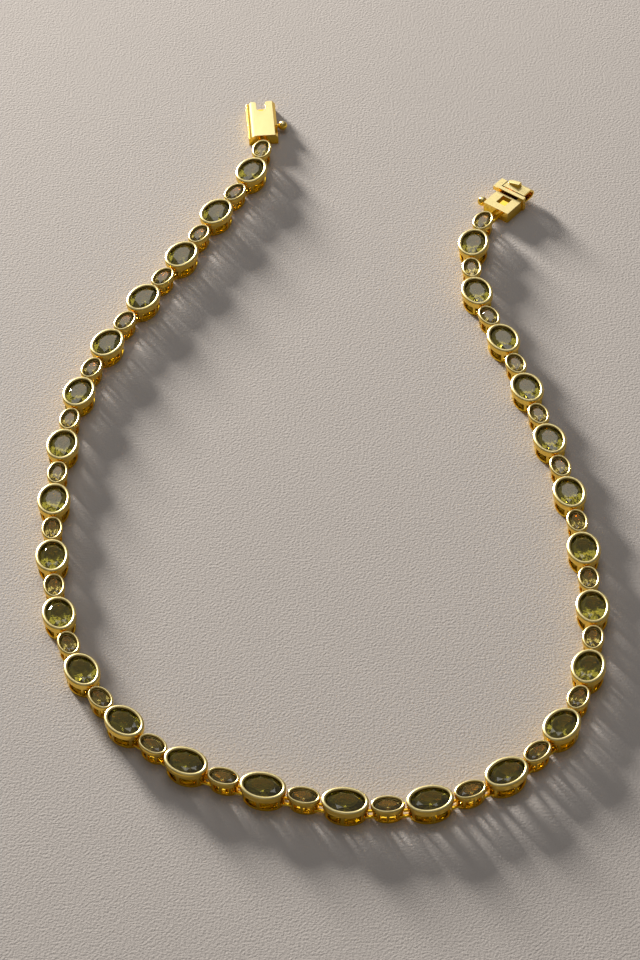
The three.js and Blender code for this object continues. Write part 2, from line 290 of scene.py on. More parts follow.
class ClaspBoxSizes(bpy.types.PropertyGroup):
    """Sizes of the clasp's box, which runs from its closed end to its mouth."""

    heading: degrees("Heading", "Way the box points, from +X", 93)
    length: length("Length", "Length of the box", 11.0)
    width: length("Width", "Width of the box", 6.0)
    height: length("Height", "Height of the box", 2.4)
    wall: length("Wall", "Thickness of the walls", 0.3)
    end_wall: length("End wall", "Thickness of the closed end", 0.4)
    shoulder: length("Shoulder", "Height at which the slopes along the top start", 1.65)
    left_slope: length("Left slope", "Width of the slope on the left of the top", 1.3)
    right_slope: length("Right slope", "Width of the slope on the right of the top", 0.6)
    notch_width: length("Notch width", "Width of the notch in the top at the mouth", 1.8)
    notch_depth: length("Notch depth", "How far the notch runs back from the mouth", 3.0)
    prong_round: length("Prong rounding", "Rounding of the notch's corners at the mouth", 0.9)
    knob: length("Knob", "From the closed end to the knob", 4.1)
    round: length("Rounding", "Rounding of the edges", 0.16)


class ClaspTongueSizes(bpy.types.PropertyGroup):
    """Sizes of the clasp's tongue half, which runs from its frame to the tip of its tongue."""

    heading: degrees("Heading", "Way the tongue points, from +X", 50)
    width: length("Width", "Width of the frame", 5.9)
    length: length("Length", "Length of the frame", 4.4)
    height: length("Height", "Height of the frame", 2.4)
    window_width: length("Window width", "Width of the window through the frame", 2.2)
    window_length: length("Window length", "Length of the window", 2.4)
    window_start: length("Window start", "From the frame's end to the window", 1.6)
    window_floor: length("Window floor", "Height of the window's floor", 1.8)
    groove: length("Groove", "Width of the groove between the frame and the collar", 0.4)
    groove_floor: length("Groove floor", "Height of the groove's floor", 1.5)
    bridge: length("Bridge", "Width of the bridge over the groove", 1.1)
    collar_width: length("Collar width", "Width of the collar", 6.4)
    collar_length: length("Collar length", "Length of the collar", 0.8)
    collar_height: length("Collar height", "Height of the collar", 3.0)
    leaf_width: length("Leaf width", "Width of the folded tongue", 5.2)
    leaf_length: length("Leaf length", "From the collar to the fold", 3.8)
    leaf_bottom: length("Leaf bottom", "Height of the tongue's lower leaf", 0.7)
    leaf_top: length("Leaf top", "Height of the tongue's free end", 2.9)
    fold_top: length("Fold top", "Height of the top of the fold", 2.4)
    sheet: length("Sheet", "Thickness of the tongue", 0.35)
    tab_start: length("Tab start", "From the collar to the thumb tab", 1.5)
    tab_length: length("Tab length", "Length of the thumb tab", 1.1)
    tab_width: length("Tab width", "Width of the thumb tab", 2.4)
    tab_height: length("Tab height", "Height of the thumb tab", 3.8)
    tab_offset: length("Tab offset", "How far the thumb tab stands to the left of the middle", 0.8)
    tab_slope: length("Tab slope", "How far the thumb tab's top falls to the left", 0.5)
    lug_length: length("Lug length", "How far the collar's lug runs past the collar", 2.2)
    lug_reach: length("Lug reach", "How far the lug stands out from the collar's left end", 1.0)
    lug_bottom: length("Lug bottom", "Height of the lug's underside", 1.9)
    lug_top: length("Lug top", "Height of the lug's top", 2.8)
    knob: length("Knob", "From the frame's end to the knob", 1.1)
    round: length("Rounding", "Rounding of the edges", 0.14)


class KnobSizes(bpy.types.PropertyGroup):
    """Sizes of the ball at the side of each half of the clasp."""

    radius: length("Radius", "Radius of the ball", 0.95)
    stem: length("Stem", "Radius of the stem", 0.4)
    reach: length("Reach", "From the side of the clasp to the ball's centre", 1.15)
    height: length("Height", "Height of the ball's centre", 1.3)


class LargeStoneSizes(bpy.types.PropertyGroup):
    """Sizes of a large stone."""

    half_length: length("Half length", "Half of the stone's length", 3.5)
    half_width: length("Half width", "Half of the stone's width", 2.5)
    table: length("Table", "Height of the table", 3.5)
    girdle_top: length("Girdle top", "Height of the girdle's upper edge", 2.95)
    girdle_bottom: length("Girdle bottom", "Height of the girdle's lower edge", 2.85)
    culet: length("Culet", "Height of the stone's lowest point", 0.8)


class SmallStoneSizes(bpy.types.PropertyGroup):
    """Sizes of a small stone."""

    half_length: length("Half length", "Half of the stone's length", 2.4)
    half_width: length("Half width", "Half of the stone's width", 1.46)
    table: length("Table", "Height of the table", 3.13)
    girdle_top: length("Girdle top", "Height of the girdle's upper edge", 2.72)
    girdle_bottom: length("Girdle bottom", "Height of the girdle's lower edge", 2.64)
    culet: length("Culet", "Height of the stone's lowest point", 1.45)


class CutShares(bpy.types.PropertyGroup):
    """A brilliant cut, as shares of the girdle's radius."""

    table: share("Table", "Radius of the table's corners", 0.6)
    star_point: share("Star points", "Radius at which the stars end", 0.8)
    main_point: share("Main points", "Radius at which the lower halves end", 0.24)


class GoldFinish(bpy.types.PropertyGroup):
    """The gold plate."""

    tint: colour("Tint", "Colour of the clean plate", 0.98, 0.66, 0.12)
    # Painted sheen: the pale tint that the tops pointing up are painted with.
    pale: colour("Pale tint", "Colour of the brushed rims", 1.0, 0.88, 0.46)
    # Painted reflection: a deeper, more saturated gold painted low in the galleries for gold reflected in
    # gold.
    painted_reflection: colour("Deep tint", "Colour low in the galleries", 1.0, 0.66, 0.05)
    # Painted shade: the dark tint painted on the band's inner wall round the stone, which lies in shade.
    painted_shade: colour("Dark tint", "Colour of the band's inner wall", 0.05, 0.035, 0.01)
    satin: share("Satin roughness", "Roughness of the brushed rims", 0.36)
    polish: share("Polished roughness", "Roughness of the polished galleries", 0.1)


class StoneFinish(bpy.types.PropertyGroup):
    """The stones."""

    tint: colour("Tint", "Colour of light that passes through a large stone", 0.42, 0.36, 0.04)
    pale_tint: colour("Pale tint", "Colour of light that passes through a small stone", 0.72, 0.57, 0.15)
    clear: share("Clear share", "How much of the light passes through", 0.89)
    ior: FloatProperty(name="Index of refraction", description="How far the stones bend light", default=1.9)


class StageLook(bpy.types.PropertyGroup):
    """The floor, the lights and the camera."""

    floor: colour("Floor", "Colour of the floor", 0.50, 0.465, 0.445)
    key: power("Key", "Power of the low light behind on the left", 66.0)
    back: power("Back", "Power of the light above and behind", 1.0)
    top: power("Top", "Power of the broad light nearly overhead", 2.9)
    fill: power("Fill", "Power of the light in front", 0.4)
    sky: FloatProperty(name="Sky", description="Strength of the light all round", default=0.14)


class NecklaceProperties(bpy.types.PropertyGroup):
    """All that a user would change."""

    large_setting: PointerProperty(type=LargeSettingSizes)
    small_setting: PointerProperty(type=SmallSettingSizes)
    gallery: PointerProperty(type=GallerySizes)
    ring: PointerProperty(type=RingSizes)
    clasp_box: PointerProperty(type=ClaspBoxSizes)
    clasp_tongue: PointerProperty(type=ClaspTongueSizes)
    knob: PointerProperty(type=KnobSizes)
    large_stone: PointerProperty(type=LargeStoneSizes)
    small_stone: PointerProperty(type=SmallStoneSizes)
    cut: PointerProperty(type=CutShares)
    gold: PointerProperty(type=GoldFinish)
    stone: PointerProperty(type=StoneFinish)
    stage: PointerProperty(type=StageLook)


def properties():
    return bpy.context.scene.tennis_necklace


# ------------------------------------------------------------------ where the links lie


def heading_at(link):
    """A link's heading, in radians."""
    after = next(n for n in range(1, len(BENDS)) if BENDS[n]["link"] >= link)
    start, end = BENDS[after - 1], BENDS[after]
    part = (link - start["link"]) / (end["link"] - start["link"])
    return math.radians(start["heading"] + part * (end["heading"] - start["heading"]))


def place_links():
    """Each link's place as a matrix. Even links are small settings and odd ones large."""
    places = []
    centre = FIRST_LINK.copy()
    for link in range(LINK_COUNT):
        heading = heading_at(link)
        if link:
            way = (heading_at(link - 1) + heading) / 2
            centre = centre + LINK_PITCH * Vector((math.cos(way), math.sin(way)))
        places.append(Matrix.Translation(centre.to_3d()) @ Matrix.Rotation(heading, 4, "Z"))
    return places


def way_out(outward, heading):
    """The way from an end link to its half of the clasp, halfway between two headings in radians."""
    return (outward + heading) / 2


def first_way():
    """The way from the first link to the clasp's box."""
    return way_out(heading_at(0) + math.pi, math.radians(properties().clasp_box.heading))


def last_way():
    """The way from the last link to the clasp's tongue."""
    return way_out(heading_at(LINK_COUNT - 1), math.radians(properties().clasp_tongue.heading))


def clasp_place(link, way, heading):
    """The place of a half of the clasp, from the place of its link."""
    sizes = properties()
    reach = sizes.small_setting.half_length + sizes.ring.clasp_gap
    centre = link.translation + reach * Vector((math.cos(way), math.sin(way), 0))
    return Matrix.Translation(centre) @ Matrix.Rotation(heading, 4, "Z")


def check_place(place, node):
    """Stops the script if a link isn't where the frame has it."""
    low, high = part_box(node)
    if ((low + high) / 2 - place.translation).to_2d().length > PLACE_TOLERANCE:
        raise RuntimeError(f"{node} isn't where its link is placed")


# ------------------------------------------------------------------ modelling


def start_piece(name, add, **options):
    """Adds a primitive as the one selected object and opens it for editing."""
    if bpy.context.object and bpy.context.object.mode == "EDIT":
        bpy.ops.object.mode_set(mode="OBJECT")
    bpy.ops.object.select_all(action="DESELECT")
    add(**options)
    piece = bpy.context.object
    piece.name = name
    piece.data.name = name
    bpy.ops.object.mode_set(mode="EDIT")
    return piece


def choose(kind, wanted):
    """Selects the vertices, edges or faces of the open mesh for which wanted is true."""
    bpy.ops.mesh.select_mode(type=kind)
    bpy.ops.mesh.select_all(action="DESELECT")
    shape = bmesh.from_edit_mesh(bpy.context.object.data)
    elements = {"VERT": shape.verts, "EDGE": shape.edges, "FACE": shape.faces}[kind]
    for element in elements:
        element.select_set(bool(wanted(element)))
    shape.select_flush_mode()
    bmesh.update_edit_mesh(bpy.context.object.data)


def middle_of(edge):
    return (edge.verts[0].co + edge.verts[1].co) / 2


def is_sharp(edge, angle):
    """Whether two faces meet at an edge and turn by more than an angle in degrees."""
    return edge.is_manifold and edge.calc_face_angle() > math.radians(angle)


def close_mesh(smooth_angle=SMOOTH_ANGLE):
    """Merges doubles, points the faces outwards and leaves edit mode."""
    bpy.ops.mesh.select_all(action="SELECT")
    bpy.ops.mesh.remove_doubles(threshold=EPSILON)
    bpy.ops.mesh.normals_make_consistent(inside=False)
    bpy.ops.object.mode_set(mode="OBJECT")
    bpy.ops.object.shade_smooth_by_angle(angle=math.radians(smooth_angle))


def oval_hoop(name, half_length, half_width, rows):
    """A hoop through rows of (inset, height), whose last row joins its first. It stays open for editing."""
    inset, height = rows[0]
    hoop = start_piece(
        name,
        bpy.ops.mesh.primitive_circle_add,
        vertices=OVAL_SIDES,
        radius=1,
        location=(0, 0, 0),
        fill_type="NOTHING",
    )
    bpy.ops.transform.resize(value=(half_length - inset, half_width - inset, 1))
    bpy.ops.transform.translate(value=(0, 0, height))
    for next_inset, next_height in rows[1:]:
        bpy.ops.mesh.extrude_region_move(TRANSFORM_OT_translate={"value": (0, 0, next_height - height)})
        scale_x = (half_length - next_inset) / (half_length - inset)
        scale_y = (half_width - next_inset) / (half_width - inset)
        bpy.ops.transform.resize(value=(scale_x, scale_y, 1), center_override=(0, 0, 0))
        inset, height = next_inset, next_height
    choose("EDGE", lambda edge: edge.is_boundary)
    bpy.ops.mesh.bridge_edge_loops()
    return hoop


def small_link(name, *rings):
    """A small setting with its rings."""
    return joined(oval_setting(name, properties().small_setting), *rings)


def ring_beside(side):
    """A ring on the +X or -X side of a small setting."""
    sizes = properties().ring
    return wire_ring("wire_ring", sizes.half_length, side * sizes.middle)


def clasp_ring(turn):
    """A longer ring that leads from an end setting to its half of the clasp."""
    sizes = properties().ring
    return wire_ring("clasp_ring", sizes.clasp_half_length, sizes.clasp_middle, turn)


def turn_of(point, half_length, half_width):
    """A point's angle round an oval, in degrees, from 0 to 90 in each quarter."""
    return math.degrees(math.atan2(abs(point.y) / half_width, abs(point.x) / half_length))


def reach_of(point, half_length, half_width):
    """How far out a point lies in an oval: 1 on its outline."""
    return Vector((point.x / half_length, point.y / half_width)).length


def pierce(half_length, half_width, insets, heights, turns, quarter):
    """Opens a window through both skins of the open hoop's wall, in one quarter of the oval."""
    low, high = heights
    start, end = turns

    def in_window(face):
        centre = face.calc_center_median()
        if abs(face.normal.z) > LEVEL_NORMAL or not low < centre.z < high:
            return False
        if centre.x * quarter[0] < 0 or centre.y * quarter[1] < 0:
            return False
        return any(
            start < turn_of(centre, half_length - inset, half_width - inset) < end
            and abs(reach_of(centre, half_length - inset, half_width - inset) - 1) < SKIN_REACH
            for inset in insets
        )

    choose("FACE", in_window)
    bpy.ops.mesh.bridge_edge_loops()


def round_edges(wanted, width, segments):
    """Rounds chosen edges of the open mesh."""
    choose("EDGE", wanted)
    bpy.ops.mesh.bevel(
        offset=width, offset_type="WIDTH", segments=segments, affect="EDGES", clamp_overlap=True
    )


def is_upright(edge, x):
    """Whether an edge stands upright at a place along X."""
    first, second = (vertex.co for vertex in edge.verts)
    return abs(first.x - x) < EPSILON and abs(second.x - x) < EPSILON and abs(first.y - second.y) < EPSILON


def oval_setting(name, sizes):
    """A setting round the origin: a band with a lip over the stone, on a gallery with windows and slots."""
    gallery = properties().gallery
    long, wide, top = sizes.half_length, sizes.half_width, sizes.height
    lip_z = top - gallery.lip
    groove_z = lip_z - (sizes.rim - gallery.groove)
    seat_z = groove_z - (gallery.seat - gallery.groove) * SEAT_SLOPE
    inner = gallery.foot_inset + gallery.wall
    rows = (
        (gallery.foot_inset, 0),
        (gallery.foot_inset, gallery.window_bottom),
        (gallery.top_inset, gallery.window_top),
        (gallery.top_inset, gallery.height),
        (0, gallery.height + gallery.step),
        *((part * sizes.rim, top - drop * gallery.rim_drop) for part, drop in RIM_CURVE),
        (sizes.rim, lip_z),
        (gallery.groove, groove_z),
        (gallery.seat, seat_z),
        (inner, gallery.window_top),
        (inner, gallery.window_bottom),
        (sizes.foot_ledge, gallery.window_bottom - gallery.edge_round),
        (sizes.foot_ledge, 0),
    )
    hoop = oval_hoop(name, long, wide, rows)
    insets = ((gallery.foot_inset + gallery.top_inset) / 2, inner)
    heights = (gallery.window_bottom, gallery.window_top)
    for quarter in ((1, 1), (-1, 1), (-1, -1), (1, -1)):
        pierce(long, wide, insets, heights, (sizes.window_start, gallery.window_end), quarter)
        pierce(long, wide, insets, heights, (sizes.slot_start, sizes.slot_end), quarter)

    below_band = gallery.height - EPSILON
    round_edges(
        lambda edge: is_sharp(edge, SHARP_ANGLE) and middle_of(edge).z < below_band,
        gallery.edge_round,
        GALLERY_EDGE_STEPS,
    )
    close_mesh()
    # The band's inner wall round the stone is marked for painted shade.
    mark_painted_shade(hoop, long - sizes.rim, wide - sizes.rim, gallery.window_top, top - gallery.rim_drop)
    return hoop


def mark_painted_shade(hoop, half_length, half_width, bottom, top):
    """Marks the vertices inside an oval and between two heights, where the gold is painted dark as painted
    shade.
    """
    inside = hoop.data.attributes.new("inside", "FLOAT", "POINT")
    for vertex in hoop.data.vertices:
        is_within = reach_of(vertex.co, half_length, half_width) < OPENING_REACH
        is_between = bottom + EPSILON < vertex.co.z < top + EPSILON
        inside.data[vertex.index].value = float(is_within and is_between)


def mark_brushed_and_sheen(piece):
    """Marks how far each face's corners point up: those that do are brushed and get a painted pale sheen."""
    brushed = piece.data.attributes.new("brushed", "FLOAT", "CORNER")
    for corner, normal in enumerate(piece.data.corner_normals):
        brushed.data[corner].value = max(0.0, normal.vector.z)


def wire_ring(name, half_length, middle, turn=0):
    """A flat ring of round wire with two straight legs, beside the origin in the direction turn."""
    sizes = properties().ring
    radius = sizes.half_width - sizes.leg / 2
    ring = start_piece(
        name,
        bpy.ops.mesh.primitive_torus_add,
        major_radius=radius,
        minor_radius=sizes.leg / 2,
        major_segments=RING_SIDES,
        minor_segments=WIRE_SIDES,
        location=(0, 0, 0),
    )
    bpy.ops.transform.resize(value=(1, 1, sizes.wire / sizes.leg))
    for side in (1, -1):
        choose("VERT", lambda vertex: vertex.co.x * side > EPSILON)
        bpy.ops.transform.translate(value=(side * (half_length - sizes.half_width), 0, 0))
    bpy.ops.mesh.select_all(action="SELECT")
    bpy.ops.transform.translate(value=(middle, 0, sizes.height))
    close_mesh(LOOSE_ANGLE)
    ring.data.transform(Matrix.Rotation(turn, 4, "Z"))
    return ring


def block(name, low, high):
    """A block between two corners. It stays open for editing."""
    low, high = Vector(low), Vector(high)
    piece = start_piece(name, bpy.ops.mesh.primitive_cube_add, size=1, location=(0, 0, 0))
    bpy.ops.transform.resize(value=high - low)
    bpy.ops.transform.translate(value=(low + high) / 2)
    return piece


def across(name, corners, width):
    """A block between two (x, z) corners, half its width on each side of the middle."""
    (start, bottom), (end, top) = corners
    return block(name, (start, -width / 2, bottom), (end, width / 2, top))


def slice_off(point, normal, threshold=EPSILON):
    """Cuts the open mesh along a plane and drops the side that the normal points to."""
    bpy.ops.mesh.select_all(action="SELECT")
    bpy.ops.mesh.bisect(
        plane_co=point,
        plane_no=Vector(normal).normalized(),
        use_fill=True,
        clear_outer=True,
        clear_inner=False,
        threshold=threshold,
    )


def apply_modifier(kind, **settings):
    """Adds a modifier to the active piece and applies it."""
    bpy.ops.object.modifier_add(type=kind)
    modifier = bpy.context.object.modifiers[-1]
    for key, value in settings.items():
        setattr(modifier, key, value)
    bpy.ops.object.modifier_apply(modifier=modifier.name)


def combine(piece, operation, *others):
    """Joins other pieces to one, or cuts them out of it."""
    bpy.ops.object.mode_set(mode="OBJECT")
    for other in others:
        bpy.ops.object.select_all(action="DESELECT")
        piece.select_set(True)
        bpy.context.view_layer.objects.active = piece
        apply_modifier("BOOLEAN", operation=operation, object=other)
        discard(other)
    bpy.ops.object.mode_set(mode="EDIT")
    bpy.ops.mesh.select_all(action="SELECT")
    bpy.ops.mesh.remove_doubles(threshold=EPSILON)
    bpy.ops.mesh.dissolve_limited(angle_limit=math.radians(FLAT_ANGLE))


def soften(width, segments=EDGE_STEPS, angle=SHARP_ANGLE):
    """Rounds every sharp edge of the open mesh and closes it."""
    round_edges(lambda edge: is_sharp(edge, angle), width, segments)
    close_mesh()
    apply_modifier("WEIGHTED_NORMAL", keep_sharp=True)


def ring_slots(end_wall):
    """Two cutters through an end wall at x = 0, for the legs of a ring."""
    sizes = properties().ring
    inner = sizes.half_width - sizes.leg - sizes.slot_gap
    outer = sizes.half_width + sizes.slot_gap
    bottom = sizes.height - sizes.wire / 2 - sizes.slot_gap
    top = sizes.height + sizes.wire / 2 + sizes.slot_gap
    return [
        block("slot", (-end_wall, near, bottom), (2 * end_wall, far, top))
        for near, far in ((inner, outer), (-outer, -inner))
    ]


def knob(name, x, side):
    """A ball on a stem that stands out sideways from a side face at y = side."""
    sizes = properties().knob
    out = math.copysign(1, side)
    stem_length = sizes.reach + sizes.stem
    stem = start_piece(
        name,
        bpy.ops.mesh.primitive_cylinder_add,
        vertices=STEM_SIDES,
        radius=sizes.stem,
        depth=stem_length,
        rotation=(math.pi / 2, 0, 0),
        location=(0, 0, 0),
    )
    close_mesh()
    bpy.ops.object.transform_apply(location=False, rotation=True, scale=False)
    stem.data.transform(Matrix.Translation((x, side + out * (sizes.reach - stem_length / 2), sizes.height)))
    ball = start_piece(
        name,
        bpy.ops.mesh.primitive_uv_sphere_add,
        segments=BALL_SIDES,
        ring_count=BALL_ROWS,
        radius=sizes.radius,
        location=(0, 0, 0),
    )
    bpy.ops.transform.translate(value=(x, side + out * sizes.reach, sizes.height))
    close_mesh()
    return joined(stem, ball)


def box_half():
    """The box half of the clasp, along +X from its closed end."""
    sizes = properties().clasp_box
    half, shoulder = sizes.width / 2, sizes.shoulder
    drop = sizes.height - shoulder
    shell = across("clasp_box", ((0, 0), (sizes.length, sizes.height)), sizes.width)
    slice_off((0, half, shoulder), (0, drop, sizes.left_slope))
    slice_off((0, -half, shoulder), (0, -drop, sizes.right_slope))
    inner, ceiling = sizes.width - 2 * sizes.wall, shoulder - sizes.wall / 2
    past = sizes.length + sizes.wall
    mouth = across("mouth", ((sizes.end_wall, sizes.wall), (past, ceiling)), inner)
    notch_end = sizes.length - sizes.notch_depth
    notch = across("notch", ((notch_end, shoulder / 2), (past, past)), sizes.notch_width)
    round_edges(lambda edge: is_upright(edge, notch_end), NOTCH_ROUND * sizes.notch_width, NOTCH_STEPS)
    combine(shell, "DIFFERENCE", mouth, notch, *ring_slots(sizes.end_wall))
    round_edges(
        lambda edge: is_upright(edge, sizes.length) and abs(middle_of(edge).y) < half - sizes.wall - EPSILON,
        sizes.prong_round,
        PRONG_STEPS,
    )
    soften(sizes.round)
    return joined(shell, knob("knob", sizes.knob, -half))


def tongue_half():
    """The tongue half of the clasp, along +X from the end of its frame."""
    sizes = properties().clasp_tongue
    half = sizes.width / 2
    collar_start = sizes.length + sizes.groove
    collar_end = collar_start + sizes.collar_length
    past = sizes.sheet
    body = across("clasp_tongue", ((0, 0), (sizes.length, sizes.height)), sizes.width)
    neck = across("neck", ((sizes.length - past, 0), (collar_start + past, sizes.groove_floor)), sizes.width)
    bridge = block(
        "bridge", (sizes.length - past, -half, 0), (collar_start + past, sizes.bridge - half, sizes.height)
    )
    collar = across("collar", ((collar_start, 0), (collar_end, sizes.collar_height)), sizes.collar_width)
    side = sizes.collar_width / 2
    lug = block(
        "lug",
        (collar_start, side - past, sizes.lug_bottom),
        (collar_end + sizes.lug_length, side + sizes.lug_reach, sizes.lug_top),
    )
    combine(body, "UNION", neck, bridge, collar, lug)
    window_end = sizes.window_start + sizes.window_length
    window = across(
        "window",
        ((sizes.window_start, sizes.window_floor), (window_end, sizes.height + past)),
        sizes.window_width,
    )
    combine(body, "DIFFERENCE", window)
    soften(sizes.round)
    tab_start = collar_end + sizes.tab_start
    tab_end = tab_start + sizes.tab_length
    tab = across(
        "tab", ((tab_start, sizes.leaf_top - sizes.sheet), (tab_end, sizes.tab_height)), sizes.tab_width
    )
    slice_off((0, -sizes.tab_width / 2, sizes.tab_height), (0, sizes.tab_slope, sizes.tab_width))
    bpy.ops.mesh.select_all(action="SELECT")
    bpy.ops.transform.translate(value=(0, sizes.tab_offset, 0))
    soften(sizes.sheet / 2, TAB_STEPS)
    return joined(body, tongue_sheet(collar_end), tab, knob("knob", sizes.knob, half))


def tongue_sheet(collar_end):
    """The folded tongue: a strip that leaves the collar, turns back at its tip and rises to its free end."""
    sizes = properties().clasp_tongue
    lower = sizes.leaf_bottom + sizes.sheet / 2
    upper = sizes.leaf_top - sizes.sheet / 2
    bend = (sizes.fold_top - sizes.leaf_bottom - sizes.sheet) / 2
    tip = collar_end + sizes.leaf_length - sizes.sheet / 2
    turns = [math.pi * step / FOLD_STEPS - math.pi / 2 for step in range(FOLD_STEPS + 1)]
    path = [(tip + bend * (math.cos(turn) - 1), lower + bend * (1 + math.sin(turn))) for turn in turns]
    path += [(collar_end + sizes.tab_start + sizes.tab_length, upper), (collar_end + sizes.sheet, upper)]
    x, z = collar_end - sizes.sheet, lower
    plane_size = 1
    strip = start_piece("leaf", bpy.ops.mesh.primitive_plane_add, size=plane_size, location=(0, 0, 0))
    choose("VERT", lambda vertex: vertex.co.x > 0)
    bpy.ops.mesh.delete(type="VERT")
    bpy.ops.mesh.select_all(action="SELECT")
    bpy.ops.transform.resize(value=(1, sizes.leaf_width, 1))
    bpy.ops.transform.translate(value=(x + plane_size / 2, 0, z))
    for next_x, next_z in path:
        bpy.ops.mesh.extrude_region_move(TRANSFORM_OT_translate={"value": (next_x - x, 0, next_z - z)})
        x, z = next_x, next_z
    bpy.ops.object.mode_set(mode="OBJECT")
    apply_modifier("SOLIDIFY", thickness=sizes.sheet, offset=0, use_even_offset=True)
    bpy.ops.object.mode_set(mode="EDIT")
    soften(sizes.sheet / 4, angle=LOOSE_ANGLE)
    return strip


# ------------------------------------------------------------------ stones


def around(radius, turn, height):
    """A point at a radius, in eighths of a turn."""
    angle = turn * 2 * math.pi / EIGHTHS
    return Vector((radius * math.cos(angle), radius * math.sin(angle), height))


def cut_facet(corners, middle):
    """Cuts the open stone along the plane through three corners and drops what lies outside."""
    normal = (corners[1] - corners[0]).cross(corners[2] - corners[0])
    if normal.dot(corners[0] - middle) < 0:
        normal.negate()
    slice_off(corners[0], normal, FACET_THRESHOLD)


def oval_brilliant(name, sizes):
    """An oval brilliant, cut facet by facet from a round blank of radius 1 and then drawn out to its oval."""
    cut = properties().cut
    heights = (sizes.table, sizes.girdle_top, sizes.girdle_bottom, sizes.culet)
    table, top, bottom, culet = (height / sizes.half_width for height in heights)
    crown, pavilion = table - top, bottom - culet
    flat = math.cos(math.pi / EIGHTHS)
    star_z = table - crown * (cut.star_point * flat - cut.table) / (1 - cut.table)
    main_z = culet + pavilion * cut.main_point * flat
    low = culet + BLUNT
    blank = start_piece(
        name,
        bpy.ops.mesh.primitive_cylinder_add,
        vertices=BLANK_SIDES,
        radius=1,
        depth=table - low,
        location=(0, 0, 0),
    )
    bpy.ops.transform.translate(value=(0, 0, (table + low) / 2))
    middle = Vector((0, 0, top))
    for n in range(EIGHTHS):
        star = around(cut.star_point, n + 0.5, star_z)
        main = around(cut.main_point, n + 0.5, main_z)
        along_girdle = around(1, n + 2, 0)
        upper, lower = around(1, n, top), around(1, n, bottom)
        cut_facet([upper, around(cut.table, n, table), upper + along_girdle], middle)
        cut_facet([around(cut.table, n, table), around(cut.table, n + 1, table), star], middle)
        cut_facet([lower, Vector((0, 0, culet)), lower + along_girdle], middle)
        for side in (0, 1):
            cut_facet([around(1, n + side, top), around(1, n + 0.5, top), star], middle)
            cut_facet([around(1, n + side, bottom), around(1, n + 0.5, bottom), main], middle)
    bpy.ops.mesh.select_all(action="SELECT")
    bpy.ops.mesh.remove_doubles(threshold=FACET_MERGE)
    bpy.ops.transform.resize(
        value=(sizes.half_length, sizes.half_width, sizes.half_width), center_override=(0, 0, 0)
    )
    close_mesh(FLAT_ANGLE)
    return blank


# ------------------------------------------------------------------ copies and bodies


def copy_to(model, name, place, material, slot, node):
    """A copy of a model with its own mesh, its place in the mesh, standing for a CAD node."""
    # Gold carries the mask for its satin roughness and its painted pale sheen.
    if slot == "gold" and "brushed" not in model.data.attributes:
        mark_brushed_and_sheen(model)
    piece = bpy.data.objects.new(name, model.data.copy())
    piece.data.name = name
    piece.data.transform(place)
    bpy.context.scene.collection.objects.link(piece)
    piece.data.materials.clear()
    piece.data.materials.append(material)
    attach(piece, BODY)
    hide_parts(node)


def discard(*models):
    """Removes models and their meshes."""
    for model in models:
        mesh = model.data
        bpy.data.objects.remove(model)
        bpy.data.meshes.remove(mesh)


def joined(*models):
    """One mesh from several models. The first one keeps its name."""
    bpy.ops.object.select_all(action="DESELECT")
    for model in models:
        model.select_set(True)
    bpy.context.view_layer.objects.active = models[0]
    bpy.ops.object.join()
    return models[0]


def two_digits(number):
    return f"{number:02d}"


def small_node(number):
    """The CAD node that a small setting and its stone stand for."""
    return f"setting_pair_{two_digits(number)}" if number else "end_setting"


# ------------------------------------------------------------------ shader maths


class Socket:
    """A shader socket that can be added, multiplied and so on."""

    def __init__(self, shader, link):
        self.shader = shader
        self.link = link

    def math(self, operation, *values):
        return self.shader.node("ShaderNodeMath", {"operation": operation}, dict(enumerate(values)))

    def __add__(self, other):
        return self.math("ADD", self, other)

    __radd__ = __add__

    def __sub__(self, other):
        return self.math("SUBTRACT", self, other)

    def __rsub__(self, other):
        return self.math("SUBTRACT", other, self)

    def __mul__(self, other):
        return self.math("MULTIPLY", self, other)

    __rmul__ = __mul__

    def ramp(self, start, end):
        """0 up to start, 1 from end, smooth in between."""
        return self.shader.node(
            "ShaderNodeMapRange",
            {"interpolation_type": "SMOOTHSTEP"},
            {"Value": self, "From Min": start, "From Max": end},
        )


class Shader:
    """One material and its nodes."""

    def __init__(self, name):
        self.material = bpy.data.materials.new(name)
        self.material.use_nodes = True
        self.tree = self.material.node_tree
        self.surface = self.tree.nodes["Principled BSDF"]

    def node(self, kind, settings=None, inputs=None, output=0):
        """Any node: its settings first, then the values or links of its sockets."""
        node = self.tree.nodes.new(kind)
        for key, value in (settings or {}).items():
            setattr(node, key, value)
        for key, value in (inputs or {}).items():
            self.set_input(node.inputs[key], value)
        return Socket(self, node.outputs[output])

    def set_input(self, socket, value):
        if isinstance(value, Socket):
            self.tree.links.new(value.link, socket)
        else:
            socket.default_value = value

    def set(self, **values):
        """Sets sockets of the shader, with _ in place of a space."""
        for key, value in values.items():
            self.set_input(self.surface.inputs[key.replace("_", " ")], value)

    def position(self):
        return self.node("ShaderNodeTexCoord", output="Object")

    def along(self, axis):
        return self.node("ShaderNodeSeparateXYZ", None, {0: self.position()}, axis)

    def attribute(self, name):
        """A number that the piece's own mesh carries, and 0 where it doesn't."""
        return self.node("ShaderNodeAttribute", {"attribute_name": name}, output="Fac")

    def noise(self, scale, detail=2.0, roughness=0.5):
        return self.node(
            "ShaderNodeTexNoise",
            None,
            {"Vector": self.position(), "Scale": scale, "Detail": detail, "Roughness": roughness},
        )

    def mix(self, factor, first, second):
        return self.node(
            "ShaderNodeMix",
            {"data_type": "RGBA"},
            {"Factor": factor, FIRST_COLOUR: first, SECOND_COLOUR: second},
            MIXED_COLOUR,
        )

    def bump(self, height, strength, distance):
        return self.node(
            "ShaderNodeBump", None, {"Height": height, "Strength": strength, "Distance": distance}
        )


def rgba(tint):
    return (*tint, 1.0)


